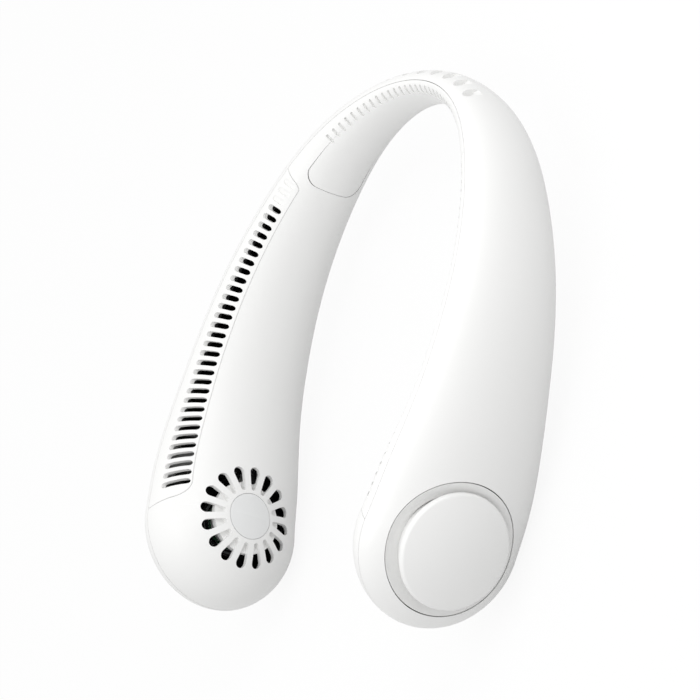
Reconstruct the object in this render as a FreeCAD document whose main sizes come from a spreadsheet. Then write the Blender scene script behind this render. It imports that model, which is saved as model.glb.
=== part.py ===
"""Electric neck fan: a rigid U-shaped collar with a blower in each end.

Millimetres. The collar lies level, as it is worn: +Z is up, the nape is at +Y and the
open ends point to -Y. The left arm is at +X. The origin is under the middle of the box.
"""
import FreeCAD, Part
import math
import os
from types import SimpleNamespace

import Sketcher
from FreeCAD import Matrix, Placement, Rotation, Vector

SIZES = {
    # Centre line: three tangent arcs from the nape to each blower, in mm and degrees
    "back_radius": 73.0,
    "back_angle": 55.0,
    "side_radius": 125.0,
    "side_angle": 28.2,
    "arm_radius": 203.0,
    "arm_angle": 21.8,
    # Half heights of the section at the nape, shoulder, arm and blower
    "nape_height": 9.5,
    "shoulder_height": 16.0,
    "arm_height": 23.5,
    "bulb_height": 30.0,
    # Depth of the inner shell, from the centre line towards the neck
    "nape_inner": 5.2,
    "shoulder_inner": 10.0,
    "arm_inner": 15.3,
    "bulb_inner": 23.0,
    # Depth of the outer shell, from the centre line outwards
    "nape_outer": 5.7,
    "shoulder_outer": 9.5,
    "arm_outer": 11.6,
    "bulb_outer": 13.8,
    # Shell walls and the visible gaps between mouldings
    "wall": 1.6,
    "seam_gap": 0.2,
    "running_gap": 0.05,
    "overrun": 4.0,
    # Outlet strip in the upper edge of each arm
    "strip_start": 68.8,
    "strip_slant": 4.6,
    "strip_past_bulb": 1.4,
    "strip_end_slant": 6.5,
    "strip_neck_corner": 3.0,
    "strip_bulb_corner": 6.0,
    "slot_start": 86.0,
    "slot_pitch": 3.79,
    "slot_width": 2.1,
    "blind_depth": 0.5,
    # Neck panel and its row of shallow slots
    "panel_reach": 70.5,
    "panel_corner": 5.0,
    "panel_thickness": 1.2,
    "floor_fade": 7.0,
    "neck_slot_pitch": 3.67,
    "neck_slot_length": 4.0,
    "neck_slot_width": 1.25,
    "neck_slot_depth": 0.9,
    # Scooped dimples on the outside of the nape
    "scoop_pitch": 9.4,
    "scoop_radius": 2.75,
    "scoop_depth": 2.6,
    "scoop_lean": 70.0,
    # Cover ring and cap on the outer face of each blower
    "cover_radius": 23.9,
    "cover_gap": 0.35,
    "cover_rise": 0.5,
    "cover_hole": 12.0,
    "dish_foot": 18.9,
    "dish_floor": 6.6,
    "cap_radius": 20.3,
    "cap_stem": 18.3,
    "cap_lip": 1.0,
    "cap_edge": 12.5,
    "cap_round": 1.4,
    "cap_slope": 20.0,
    "cap_wall": 1.8,
    # Grille in the inner face, and the hub behind it
    "plate_radius": 8.6,
    "plate_thickness": 1.3,
    "grille_inner": 10.8,
    "grille_outer": 16.75,
    "grille_inner_round": 0.95,
    "grille_outer_round": 2.0,
    "hub_radius": 13.4,
    "hub_floor": 3.7,
    "hub_back": 5.7,
    "boss_radius": 9.0,
    "boss_height": 7.8,
    # Motor
    "board_thickness": 1.0,
    "motor_board_radius": 9.6,
    "tube_radius": 3.0,
    "shaft_radius": 1.0,
    "bearing_width": 2.5,
    "stator_radius": 8.4,
    "stator_hub": 5.2,
    "stator_height": 6.0,
    "stator_rise": 3.2,
    "pole_width": 1.8,
    "coil_wall": 0.8,
    "magnet_gap": 0.35,
    "magnet_wall": 1.1,
    "can_wall": 0.8,
    "can_height": 10.4,
    "can_rise": 1.2,
    # Impeller
    "impeller_radius": 21.4,
    "blade_inner": 17.4,
    "blade_drop": 13.0,
    "blade_thickness": 0.8,
    "cup_wall": 1.0,
    "disc_thickness": 1.4,
    # Scroll round each impeller
    "scroll_radius": 25.2,
    "scroll_wall": 1.0,
    "scroll_mouth": 26.0,
    # Air duct under each outlet strip
    "duct_gap": 0.4,
    "duct_wall": 0.9,
    "duct_floor": 2.0,
    "duct_start": 82.0,
    "duct_end": 180.0,
    # Battery cells
    "cell_station": 125.0,
    "cell_length": 46.0,
    "cell_height": 13.0,
    "cell_thickness": 9.0,
    "cell_shift": 0.8,
    "pad_thickness": 0.8,
    # Control board and what it carries, in the left arm
    "control_station": 165.0,
    "control_length": 30.0,
    "control_height": 14.0,
    "control_thickness": 1.2,
    "control_face": 5.0,
    "control_foot": 19.6,
    "control_screw_place": 12.0,
    "usb_place": 9.0,
    "usb_width": 8.94,
    "usb_thickness": 3.26,
    "usb_length": 7.35,
    "usb_wall": 0.3,
    "usb_recess": 0.4,
    "port_clearance": 0.2,
    "button_place": 8.5,
    "button_radius": 2.2,
    "button_proud": 0.7,
    "button_travel": 0.5,
    "button_flange": 0.8,
    "button_depth": 3.0,
    "switch_width": 4.5,
    "switch_height": 4.2,
    "plunger_radius": 0.8,
    "lens_radius": 1.1,
    "lens_length": 5.4,
    # Screws
    "screw_radius": 0.95,
    "screw_head_radius": 1.8,
    "screw_head": 1.1,
    "screw_length": 5.0,
    "screw_boss": 2.6,
    "screw_bite": 2.2,
    "neck_screw_near": 22.0,
    "neck_screw_far": 56.0,
    "motor_screw_circle": 6.0,
    # Leads
    "cable_radius": 1.3,
    "cable_drop": 4.8,
    "cable_shift": 0.9,
    "lead_radius": 0.8,
    "lead_bend": 3.0,
}

# Counts and shares, each a plain ratio of the size that it follows
STATION_SHARES = (0.0, 0.36, 0.7, 1.0)
STRIP_BORDER_SHARES = (0.74, 0.67)
SLOT_SHARES = (0.25, 0.65)
SLOT_LEAN_SHARE = 0.25
PANEL_EDGE_SHARE = 0.76
NECK_SLOT_SHARE = 0.59
SCOOP_HEIGHT_SHARE = 0.65
PANEL_FLOOR_SHARE = 0.2
DISH_FOLLOW_SHARE = 0.82
DISH_CURVE_SHARES = (0.04, 0.4, 0.75, 1.0, 1.2)
DISH_RISE_SHARES = (0.0, 0.3, 0.68, 1.0, 1.26)
DUCT_WINDOW_SHARES = (0.24, 0.7)
SHOE_SHARE = 2.4
BLADE_SHARES = (0.0, 0.5, 0.94)
BLADE_SWEEP_SHARES = (0.0, 0.55, 1.9)
RIM_SHARE = 0.3
TONGUE_SHARE = 0.75
SECTION_COUNT = 25
ARM_SECTION_COUNT = 11
BAND_POINT_COUNT = 14
DISH_POINT_COUNT = 24
SLOT_COUNT = 31
BLIND_COUNT = 3
NECK_SLOT_COUNT = 28
SCOOP_COUNT = 10
GRILLE_COUNT = 16
BLADE_COUNT = 24
POLE_COUNT = 6
MOTOR_SCREW_COUNT = 3
SIDES = {"left": 1, "right": -1}

UP = Vector(0, 0, 1)

doc = FreeCAD.newDocument("neck_fan")
sheet = doc.addObject("Spreadsheet::Sheet", "Sizes")
for row, (alias, value) in enumerate(SIZES.items(), start=1):
    sheet.set("A%d" % row, alias)
    sheet.set("B%d" % row, str(value))
    sheet.setAlias("B%d" % row, alias)
doc.recompute()


class Size(float):
    """A length together with the spreadsheet expression that gives it."""

    def __new__(cls, value, text):
        size = float.__new__(cls, value)
        size.text = text
        return size

    def joined(self, other, value, sign, swap=False):
        pair = (text_of(other), self.text) if swap else (self.text, text_of(other))
        return Size(value, "(%s %s %s)" % (pair[0], sign, pair[1]))

    def __add__(self, other):
        return self.joined(other, float(self) + float(other), "+")

    def __sub__(self, other):
        return self.joined(other, float(self) - float(other), "-")

    def __rsub__(self, other):
        return self.joined(other, float(other) - float(self), "-", swap=True)

    def __mul__(self, other):
        return self.joined(other, float(self) * float(other), "*")

    def __truediv__(self, other):
        return self.joined(other, float(self) / float(other), "/")

    def __neg__(self):
        return Size(-float(self), "(0 - %s)" % self.text)

    __radd__ = __add__
    __rmul__ = __mul__


def text_of(number):
    return number.text if isinstance(number, Size) else repr(float(number))


S = SimpleNamespace(**{alias: Size(sheet.get(alias), "Sizes." + alias) for alias in SIZES})


def bind(item, name, size):
    """Ties a property of a document object to the spreadsheet."""
    if isinstance(size, Size):
        item.setExpression(name, size.text)
    else:
        setattr(item, name, size)


# Centre line of the collar

ARCS = [(S.back_radius, math.radians(S.back_angle)),
        (S.side_radius, math.radians(S.side_angle)),
        (S.arm_radius, math.radians(S.arm_angle))]
BULB_REACH = sum(radius * turn for radius, turn in ARCS)
BULB_TURN = sum(turn for radius, turn in ARCS)


def trace(reach):
    """X, Y and turn of the left half of the centre line, from the nape at 0, 0."""
    x = y = turn = 0.0
    rest = abs(reach)
    for radius, angle in ARCS:
        step = min(rest / radius, angle)
        x += radius * (math.sin(turn + step) - math.sin(turn))
        y += radius * (math.cos(turn + step) - math.cos(turn))
        turn += step
        rest = max(rest - radius * step, 0.0)
    return x + rest * math.cos(turn), y - rest * math.sin(turn), turn


TIP_SPAN = math.hypot(S.bulb_height * math.sin(BULB_TURN), S.bulb_inner * math.cos(BULB_TURN))
FRONT_Y = trace(BULB_REACH)[1] - TIP_SPAN
NAPE_Y = (S.nape_outer - FRONT_Y) / 2 - S.nape_outer
LEVEL = float(S.bulb_height)


def station(reach):
    """Frame of the centre line: point, tangent to the tip and outward normal."""
    side = -1 if reach < 0 else 1
    x, y, turn = trace(reach)
    point = Vector(side * x, NAPE_Y + y, LEVEL)
    tangent = Vector(side * math.cos(turn), -math.sin(turn), 0)
    outward = Vector(side * math.sin(turn), math.cos(turn), 0)
    return point, tangent, outward


def along(values, reach):
    """Smooth change of a section size from the nape to the bulb, level at both ends."""
    places = [share * BULB_REACH for share in STATION_SHARES]
    slopes = [0.0]
    for before, here in zip(range(len(values)), range(1, len(values) - 1)):
        rise = values[here + 1] - values[before]
        slopes.append(rise / (places[here + 1] - places[before]))
    slopes.append(0.0)
    rest = min(abs(reach), BULB_REACH)
    spot = max(index for index, place in enumerate(places[:-1]) if place <= rest)
    span = places[spot + 1] - places[spot]
    u = (rest - places[spot]) / span
    return (values[spot] * (1 + 2 * u) * (1 - u) ** 2 + values[spot + 1] * u * u * (3 - 2 * u)
            + span * (slopes[spot] * u * (1 - u) ** 2 - slopes[spot + 1] * u * u * (1 - u)))


def half_height(reach):
    return along((S.nape_height, S.shoulder_height, S.arm_height, S.bulb_height), reach)


def inner_depth(reach):
    return along((S.nape_inner, S.shoulder_inner, S.arm_inner, S.bulb_inner), reach)


def outer_depth(reach):
    return along((S.nape_outer, S.shoulder_outer, S.arm_outer, S.bulb_outer), reach)


def neck_floor(reach):
    """Extra wall behind the neck panel, fading out past its ends."""
    fade = (abs(reach) - S.panel_reach - S.wall) / S.floor_fade
    share = min(max(fade, 0.0), 1.0)
    return (S.panel_thickness + S.seam_gap) * (1 - share * share * (3 - 2 * share))


# Lofted halves of the collar

def half_arc(centre, out, depth, height, end=math.pi):
    """Elliptical edge from the top of a section round its side."""
    ellipse = Part.Ellipse(centre + UP * height, centre + out * depth, centre)
    return Part.ArcOfEllipse(ellipse, 0.0, end).toShape()


def closed(edges):
    return Part.Wire(Part.__sortEdges__(edges))


def polygon(points):
    return Part.makePolygon(list(points) + [points[0]])


def half_section(reach, way, depth, height, margin, shift):
    """Half ellipse on one side of the centre line, closed past it by the margin."""
    point, tangent, outward = station(reach)
    out = outward * way
    centre = point + out * shift
    top = centre + UP * height
    low = centre - UP * height
    edges = [half_arc(centre, out, depth, height)]
    if margin:
        back = out * -margin
        edges += [Part.makeLine(top, top + back), Part.makeLine(top + back, low + back),
                  Part.makeLine(low + back, low)]
    else:
        edges.append(Part.makeLine(top, low))
    return closed(edges)


def tip(side, way, depth, height, margin, shift):
    """Rounded end of a half: a quarter of a spheroid about the blower's axis."""
    point, tangent, outward = station(side * BULB_REACH)
    out = outward * way
    centre = point + out * shift
    foot = centre - out * margin
    top = UP * height
    edges = [half_arc(centre, out, depth, height, math.pi / 2),
             Part.makeLine(centre + out * depth, foot), Part.makeLine(foot, foot + top)]
    if margin:
        edges.append(Part.makeLine(foot + top, centre + top))
    turn = math.copysign(180, UP.cross(tangent).dot(out))
    return Part.Face(closed(edges)).revolve(centre, out, turn).toNurbs()


def spread(start, end, count):
    """Evenly spaced places from start to end, both included."""
    return [start + (end - start) * index / (count - 1) for index in range(count)]


def collar_half(way, inset, margin=0.0, shift=0.0, extra=None):
    """One half of the collar from tip to tip, its skin moved in by inset."""
    depth_of = outer_depth if way > 0 else inner_depth
    sections = []
    for reach in spread(-BULB_REACH, BULB_REACH, SECTION_COUNT):
        depth = depth_of(reach) - inset - shift - (extra(reach) if extra else 0.0)
        sections.append(half_section(reach, way, depth, half_height(reach) - inset, margin, shift))
    depth = depth_of(BULB_REACH) - inset - shift
    ends = [tip(side, way, depth, S.bulb_height - inset, margin, shift) for side in SIDES.values()]
    return Part.makeLoft(sections, True, False).fuse(ends)


def arm_tube(side, inset, start, end):
    """Whole section of one arm between two stations, its skin moved in by inset."""
    sections = []
    for reach in spread(start, end, ARM_SECTION_COUNT):
        point, tangent, outward = station(side * reach)
        height = half_height(reach) - inset
        edges = [half_arc(point, outward, outer_depth(reach) - inset, height),
                 half_arc(point, -outward, inner_depth(reach) - inset, height)]
        sections.append(closed(edges))
    return Part.makeLoft(sections, True, False)


def skin_drop(reach, depth, inset=0.0):
    """Distance from the centre line down to the inner shell's skin at a depth towards the neck."""
    share = depth / (inner_depth(reach) - inset)
    return (half_height(reach) - inset) * math.sqrt(1 - share * share)


# Frames and small solids

def frame(point, tangent, outward):
    """Placement with X along the tangent and Z along the outward normal."""
    return Placement(point, Rotation(tangent, outward.cross(tangent), outward, "ZXY"))


def blower_frame(side):
    return frame(*station(side * BULB_REACH))


def placed(shape, place):
    moved = shape.copy()
    moved.Placement = place.multiply(shape.Placement)
    return moved


def rod(radius, start, end):
    """Cylinder between two points."""
    return Part.makeCylinder(radius, (end - start).Length, start, end - start)


def capsule(start, end, width, rise):
    """Prism over a round-ended slot whose centre line runs from start to end."""
    run = (end - start).normalize()
    side = rise.cross(run).normalize() * (width / 2)
    cap = run * (width / 2)
    first = start + cap
    last = end - cap
    edges = [Part.makeLine(first + side, last + side),
             Part.Arc(last + side, end, last - side).toShape(),
             Part.makeLine(last - side, first - side),
             Part.Arc(first - side, start, first + side).toShape()]
    return Part.Face(closed(edges)).extrude(rise)


def block(centre, axes, lengths):
    """Box about a centre with its edges along three directions."""
    corner = centre
    for axis, length in zip(axes, lengths):
        corner = corner - axis * (length / 2)
    sides = [axis * length for axis, length in zip(axes, lengths)]
    return Part.Face(polygon([corner, corner + sides[0], corner + sides[0] + sides[1],
                              corner + sides[1]])).extrude(sides[2])


def skin_point(reach, share):
    """Point on the upper inner skin at a share of its depth, with its normal and crosswise line."""
    point, tangent, outward = station(reach)
    depth = inner_depth(reach)
    height = half_height(reach)
    rise = math.sqrt(1 - share * share)
    spot = point - outward * (depth * share) + UP * (height * rise)
    normal = (UP * (rise / height) - outward * (share / depth)).normalize()
    return spot, normal, tangent.cross(normal).normalize()


# Document objects

PARTS = []


def keep(item, place=None):
    """Registers a finished piece under its label."""
    if place:
        item.Placement = place
    PARTS.append(item)
    return item


def feature(label, shape, place=None):
    """Piece whose shape is worked out from the sheet's values."""
    item = doc.addObject("Part::Feature", label)
    item.Shape = shape
    return keep(item, place)


def cylinder(label, radius, low, high):
    item = doc.addObject("Part::Cylinder", label)
    bind(item, "Radius", radius)
    bind(item, "Height", high - low)
    bind(item, "Placement.Base.z", low)
    return item


def turned(label, adds, cuts=(), place=None):
    """Piece made of coaxial cylinders: (radius, low, high) to add, then to cut."""
    solids = [cylinder("%s_add%d" % (label, index), *size) for index, size in enumerate(adds)]
    holes = [cylinder("%s_cut%d" % (label, index), *size) for index, size in enumerate(cuts)]
    base = solids[0]
    if len(solids) > 1:
        base = doc.addObject("Part::MultiFuse", label + "_stack")
        base.Shapes = solids
    for index, hole in enumerate(holes):
        cut = doc.addObject("Part::Cut", "%s_bored%d" % (label, index))
        cut.Base = base
        cut.Tool = hole
        base = cut
    if base is solids[0]:
        base = doc.addObject("Part::Compound", label + "_whole")
        base.Links = solids
    base.Label = label
    return keep(base, place)


def box(label, lengths, corner, place=None):
    """Rectangular piece; its corner is given in the frame of its placement."""
    item = doc.addObject("Part::Box", label)
    for name, length in zip(("Length", "Width", "Height"), lengths):
        bind(item, name, length)
    return keep(item, place.multiply(Placement(Vector(*corner), Rotation())))


def sketch(body, label, role, points):
    """Closed outline whose corners are tied to the sheet; each point is a pair of sizes."""
    plane = [item for item in body.Origin.OriginFeatures if item.Role == role][0]
    outline = body.newObject("Sketcher::SketchObject", label)
    outline.AttachmentSupport = (plane, [""])
    outline.MapMode = "FlatFace"
    corners = [Vector(float(x), float(y), 0) for x, y in points]
    for index, corner in enumerate(corners):
        outline.addGeometry(Part.LineSegment(corner, corners[(index + 1) % len(corners)]), False)
    for index, point in enumerate(points):
        following = (index + 1) % len(points)
        outline.addConstraint(Sketcher.Constraint("Coincident", index, 2, following, 1))
        for kind, axis, size in zip(("DistanceX", "DistanceY"), (-2, -1), point):
            if float(size) == 0:
                outline.addConstraint(Sketcher.Constraint("PointOnObject", index, 1, axis))
            else:
                spot = outline.addConstraint(Sketcher.Constraint(kind, -1, 1, index, 1, float(size)))
                bind(outline, "Constraints[%d]" % spot, size)
    return outline


# Tools that cut and raise the shells

RECESS = S.panel_thickness + S.seam_gap
CONTROL = station(S.control_station)
NECK_SCREW_REACHES = [side * reach for side in SIDES.values()
                      for reach in (S.neck_screw_near, S.neck_screw_far)]


def rounded(solid, corner, radius):
    """Rounds the upright edges over one corner of a plan outline."""
    edges = [edge for edge in solid.Edges
             if all(math.hypot(v.X - corner.x, v.Y - corner.y) < S.seam_gap / 2 for v in edge.Vertexes)]
    return solid.makeFillet(radius, edges)


def curve(points):
    line = Part.BSplineCurve()
    line.interpolate(points)
    return line.toShape()


def band_edge(side, start, end, depth_of):
    """Points along one arm at a distance towards the neck."""
    points = []
    for reach in spread(start, end, BAND_POINT_COUNT):
        point, tangent, outward = station(side * reach)
        points.append(point - outward * depth_of(reach))
    return points


def arm_band(side, start, end, slants, near, far, low):
    """Upright prism over a band of one arm, between two distances towards the neck."""
    inner = band_edge(side, start + slants[0], end - slants[1], far)
    outer = band_edge(side, start, end, near)
    edges = [curve(inner), Part.makeLine(inner[-1], outer[-1]), curve(outer),
             Part.makeLine(outer[0], inner[0])]
    base = Part.Face(closed(edges))
    base.translate(UP * low)
    return base.extrude(UP * (S.bulb_height + S.overrun)), inner


def strip_band(side, gap):
    """Upright prism that holds an outlet strip, drawn in by a gap."""
    start = S.strip_start + gap
    end = BULB_REACH + S.strip_past_bulb - gap
    first, last = STRIP_BORDER_SHARES

    def border_depth(reach):
        share = first + (last - first) * (reach - start) / (end - start)
        return inner_depth(reach) * share - gap

    solid, border = arm_band(side, start, end, (S.strip_slant, S.strip_end_slant),
                             lambda reach: -S.overrun, border_depth, 0.0)
    solid = rounded(solid, border[0], S.strip_neck_corner)
    return rounded(solid, border[-1], S.strip_bulb_corner)


def open_slots(side):
    """Upright slots through an outlet strip, longer and leaning more towards the blower."""
    tools = []
    for index in range(SLOT_COUNT):
        reach = S.slot_start + index * S.slot_pitch
        point, tangent, outward = station(side * reach)
        first, last = (inner_depth(reach) * share for share in SLOT_SHARES)
        lean = tangent * ((last - first) * SLOT_LEAN_SHARE * index / (SLOT_COUNT - 1) / 2)
        tools.append(capsule(point - outward * first + lean, point - outward * last - lean,
                             S.slot_width, UP * (S.bulb_height + S.overrun)))
    return tools


def pocket(reach, share, length, width, depth):
    """Shallow round-ended pocket square to the inner skin."""
    spot, normal, across = skin_point(reach, share)
    low = spot - normal * depth
    half = across * (length / 2)
    return capsule(low - half, low + half, width, normal * (depth + S.overrun))


def blind_slots(side):
    tools = []
    for index in range(BLIND_COUNT):
        reach = side * (S.slot_start - (index + 1) * S.slot_pitch)
        ends = [skin_point(reach, share)[0] for share in SLOT_SHARES]
        tools.append(pocket(reach, sum(SLOT_SHARES) / 2, (ends[0] - ends[1]).Length,
                            S.slot_width, S.blind_depth))
    return tools


def neck_slots():
    middle = (NECK_SLOT_COUNT - 1) / 2
    return [pocket((index - middle) * S.neck_slot_pitch, NECK_SLOT_SHARE, S.neck_slot_length,
                   S.neck_slot_width, S.neck_slot_depth) for index in range(NECK_SLOT_COUNT)]


def panel_block(gap):
    """Solid that holds the neck panel, with rounded corners."""
    reach = S.panel_reach - gap
    row_end = NECK_SLOT_COUNT * S.neck_slot_pitch / 2
    sections = []
    for place in spread(-reach, reach, ARM_SECTION_COUNT):
        point, tangent, outward = station(place)
        edge_gap = gap if abs(place) > row_end else min(gap, S.running_gap)
        high = UP * (half_height(place) * PANEL_EDGE_SHARE - edge_gap)
        near = point - outward * (inner_depth(place) + S.overrun)
        far = point - outward * (inner_depth(place) * PANEL_FLOOR_SHARE)
        sections.append(polygon([near + high, far + high, far - high, near - high]))
    solid = Part.makeLoft(sections, True, False)
    corners = []
    for place in (-reach, reach):
        point, tangent, outward = station(place)
        for edge in solid.Edges:
            ends = [v.Point - point for v in edge.Vertexes]
            at_end = all(abs(end.dot(tangent)) < S.seam_gap / 2 for end in ends)
            if at_end and abs((ends[0] - ends[-1]).dot(outward)) > S.overrun:
                corners.append(edge)
    return solid.makeFillet(S.panel_corner, corners)


def scoops(grow):
    """Leaning round scoops on the outside of the nape, or the bosses behind them."""
    lean = math.radians(S.scoop_lean)
    tools = []
    for index in range(SCOOP_COUNT):
        reach = (index - (SCOOP_COUNT - 1) / 2) * S.scoop_pitch
        point, tangent, outward = station(reach)
        wide = math.sqrt(1 - SCOOP_HEIGHT_SHARE ** 2)
        spot = point + outward * (outer_depth(reach) * wide)
        spot += UP * (half_height(reach) * SCOOP_HEIGHT_SHARE)
        axis = outward * math.cos(lean) + UP * math.sin(lean)
        foot = spot - axis * (S.scoop_depth + grow)
        tools.append(rod(S.scoop_radius + grow, foot, spot + axis * S.overrun))
    return tools


def neck_screw_frame(reach):
    """Frame of a screw under the neck panel, Z outwards, its tip biting past the seam."""
    point, tangent, outward = station(reach)
    return frame(point - outward * (S.screw_head + S.screw_length - S.screw_bite), tangent, outward)


def neck_bosses():
    tools = []
    for reach in NECK_SCREW_REACHES:
        point, tangent, outward = station(reach)
        inside = point - outward * inner_depth(reach)
        tools.append(rod(S.screw_boss, inside, point + outward * outer_depth(reach)))
    return tools


def screw():
    """Pan-head screw along Z, its head at zero."""
    head = Part.makeCylinder(S.screw_head_radius, S.screw_head)
    shank = Part.makeCylinder(S.screw_radius, S.screw_length, Vector(0, 0, S.screw_head))
    return head.fuse(shank)


def screw_hole():
    """Counterbore and pilot for a screw, open on the head's side."""
    gap = S.running_gap
    length = S.overrun + S.screw_head + gap
    head = Part.makeCylinder(S.screw_head_radius + gap, length, Vector(0, 0, -S.overrun))
    pilot = Part.makeCylinder(S.screw_radius + gap, S.screw_head + S.screw_length + S.seam_gap)
    return head.fuse(pilot)


def control_point(run, depth, drop):
    """Point beside the control board: along it, towards the neck and down."""
    point, tangent, outward = CONTROL
    return point + tangent * run - outward * depth - UP * drop


def control_screw_frames():
    """Frames on the outer face of the control board, Z towards the neck."""
    point, tangent, outward = CONTROL
    drop = S.control_foot - S.control_height + S.screw_boss
    return [frame(control_point(run, S.control_face - S.screw_head, drop), tangent, -outward)
            for run in (-S.control_screw_place, S.control_screw_place)]


def control_bosses():
    back = S.control_face + S.control_thickness + S.running_gap
    drop = S.control_foot - S.control_height + S.screw_boss
    depth = inner_depth(S.control_station)
    return [rod(S.screw_boss, control_point(run, back, drop), control_point(run, depth, drop))
            for run in (-S.control_screw_place, S.control_screw_place)]


def hub(side):
    """Disc behind the middle of the grille with the motor's boss on it."""
    low = -(S.bulb_inner + S.overrun)
    back = S.hub_back - S.bulb_inner
    disc = Part.makeCylinder(S.hub_radius, back - low, Vector(0, 0, low))
    boss = Part.makeCylinder(S.boss_radius, S.boss_height, Vector(0, 0, back))
    return placed(disc.fuse(boss), blower_frame(side))


def teardrop():
    """Grille slot along X: two rounds joined by their outer tangents, raised through the wall."""
    small, large = S.grille_inner_round, S.grille_outer_round
    lean = math.acos((small - large) / (S.grille_outer - S.grille_inner))
    tangent = Vector(math.cos(lean), math.sin(lean), 0)
    mirror = Vector(tangent.x, -tangent.y, 0)
    near = Vector(S.grille_inner, 0, 0)
    far = Vector(S.grille_outer, 0, 0)
    along_x = Vector(1, 0, 0)
    edges = [Part.makeLine(near + tangent * small, far + tangent * large),
             Part.Arc(far + tangent * large, far + along_x * large, far + mirror * large).toShape(),
             Part.makeLine(far + mirror * large, near + mirror * small),
             Part.Arc(near + mirror * small, near - along_x * small, near + tangent * small).toShape()]
    face = Part.Face(closed(edges))
    face.translate(Vector(0, 0, -(S.bulb_inner + S.overrun)))
    return face.extrude(Vector(0, 0, S.bulb_inner))


def grille(side):
    """Ring of grille slots, blind over the hub, and the seat of the plate in the middle."""
    floor = S.hub_floor - S.bulb_inner
    core = Part.makeCylinder(S.hub_radius, S.bulb_inner, Vector(0, 0, floor))
    slot = teardrop().cut(core)
    tools = []
    for index in range(GRILLE_COUNT):
        turn = Rotation(UP, 360 * index / GRILLE_COUNT)
        tools.append(placed(slot, blower_frame(side).multiply(Placement(Vector(), turn))))
    tools.append(placed(plate_block(0.0), blower_frame(side)))
    return tools


def plate_block(gap):
    """Round prism that holds the rating plate, drawn in by a gap."""
    low = -(S.bulb_inner + S.overrun)
    high = S.plate_thickness - S.bulb_inner - gap
    return Part.makeCylinder(S.plate_radius - gap, high - low, Vector(0, 0, low))


def motor_screw_frames(side):
    """Frames on the motor board, Z towards the grille."""
    top = BOARD_TOP + S.screw_head
    frames = []
    for index in range(MOTOR_SCREW_COUNT):
        turn = Rotation(UP, 360 * index / MOTOR_SCREW_COUNT)
        spot = turn.multVec(Vector(S.motor_screw_circle, 0, top))
        frames.append(blower_frame(side).multiply(Placement(spot, Rotation(Vector(1, 0, 0), 180))))
    return frames


def port_tool(grow, low, high):
    """Round-ended upright prism of the USB socket."""
    half = S.usb_width / 2 + grow
    start = control_point(-S.usb_place - half, PORT_DEPTH, low)
    end = control_point(-S.usb_place + half, PORT_DEPTH, low)
    return capsule(start, end, S.usb_thickness + 2 * grow, UP * (low - high))


# Levels of the blower stack along its axis, outwards positive

HUB_FACE = S.hub_back - S.bulb_inner
BOSS_TOP = HUB_FACE + S.boss_height
BOARD_TOP = BOSS_TOP + S.board_thickness
STATOR_LOW = BOARD_TOP + S.stator_rise
STATOR_TOP = STATOR_LOW + S.stator_height
TUBE_TOP = STATOR_TOP + S.seam_gap
TUBE_BORE = S.tube_radius - S.can_wall
CAN_LOW = BOARD_TOP + S.can_rise
CAN_TOP = CAN_LOW + S.can_height
MAGNET_INNER = S.stator_radius + S.magnet_gap
MAGNET_OUTER = MAGNET_INNER + S.magnet_wall
CAN_INNER = MAGNET_OUTER + S.running_gap
CAN_RADIUS = CAN_INNER + S.can_wall
CUP_INNER = CAN_RADIUS + S.running_gap
CUP_RADIUS = CUP_INNER + S.cup_wall
DISC_LOW = CAN_TOP + S.running_gap
DISC_TOP = DISC_LOW + S.disc_thickness
PORT_DEPTH = S.control_face - S.usb_thickness / 2 - S.running_gap
BUTTON_REACH = S.control_station + S.button_place
BUTTON_TOP = S.button_depth + S.button_flange


# Shells

OUTER_BODY = collar_half(1, 0.0)
INNER_BODY = collar_half(-1, 0.0, 0.0, S.seam_gap)
INNER_WALL = INNER_BODY.cut(collar_half(-1, S.wall, S.overrun))


def cover_frame(side):
    place = blower_frame(side)
    return Placement(place.Base + UP * S.cover_rise, place.Rotation)


def outer_shell():
    bosses = scoops(S.wall / 2) + neck_bosses()
    cavity = collar_half(1, S.wall, S.overrun, -S.seam_gap).cut(bosses)
    cuts = scoops(0.0)
    cuts += [placed(screw_hole(), neck_screw_frame(reach)) for reach in NECK_SCREW_REACHES]
    for side in SIDES.values():
        seat = Part.makeCylinder(S.cover_radius, S.bulb_outer + S.overrun, Vector(0, 0, S.wall))
        cuts.append(placed(seat, cover_frame(side)))
    return OUTER_BODY.cut(cavity).cut(cuts)


def inner_shell():
    bosses = [hub(side) for side in SIDES.values()] + neck_bosses() + control_bosses()
    cavity = collar_half(-1, S.wall, S.overrun, 0.0, neck_floor).cut(bosses)
    recess = panel_block(0.0).cut(collar_half(-1, RECESS, S.overrun))
    core = collar_half(-1, 2 * S.wall, S.overrun)
    openings = [strip_band(side, 0.0).cut(core) for side in SIDES.values()]
    shell = INNER_BODY.cut(cavity).cut([recess] + openings)
    cuts = neck_slots()
    cuts += [placed(screw_hole(), neck_screw_frame(reach)) for reach in NECK_SCREW_REACHES]
    cuts += [placed(screw_hole(), place) for place in control_screw_frames()]
    low = S.bulb_height + S.overrun
    cuts.append(port_tool(S.port_clearance, low, S.control_foot))
    button_hole = S.button_radius + S.port_clearance
    lens_hole = S.lens_radius + S.running_gap
    for run, radius in ((S.button_place, button_hole), (0.0, lens_hole)):
        cuts.append(rod(radius, control_point(run, PORT_DEPTH, low),
                        control_point(run, PORT_DEPTH, S.control_foot)))
    for side in SIDES.values():
        cuts += grille(side)
        cuts += [placed(screw_hole(), place) for place in motor_screw_frames(side)]
    return shell.cut(cuts)


def outlet_strip(side):
    return INNER_WALL.common(strip_band(side, S.seam_gap)).cut(open_slots(side) + blind_slots(side))


def neck_panel():
    skin = INNER_BODY.common(panel_block(S.seam_gap))
    return skin.cut([collar_half(-1, S.panel_thickness, S.overrun)] + neck_slots())


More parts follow.
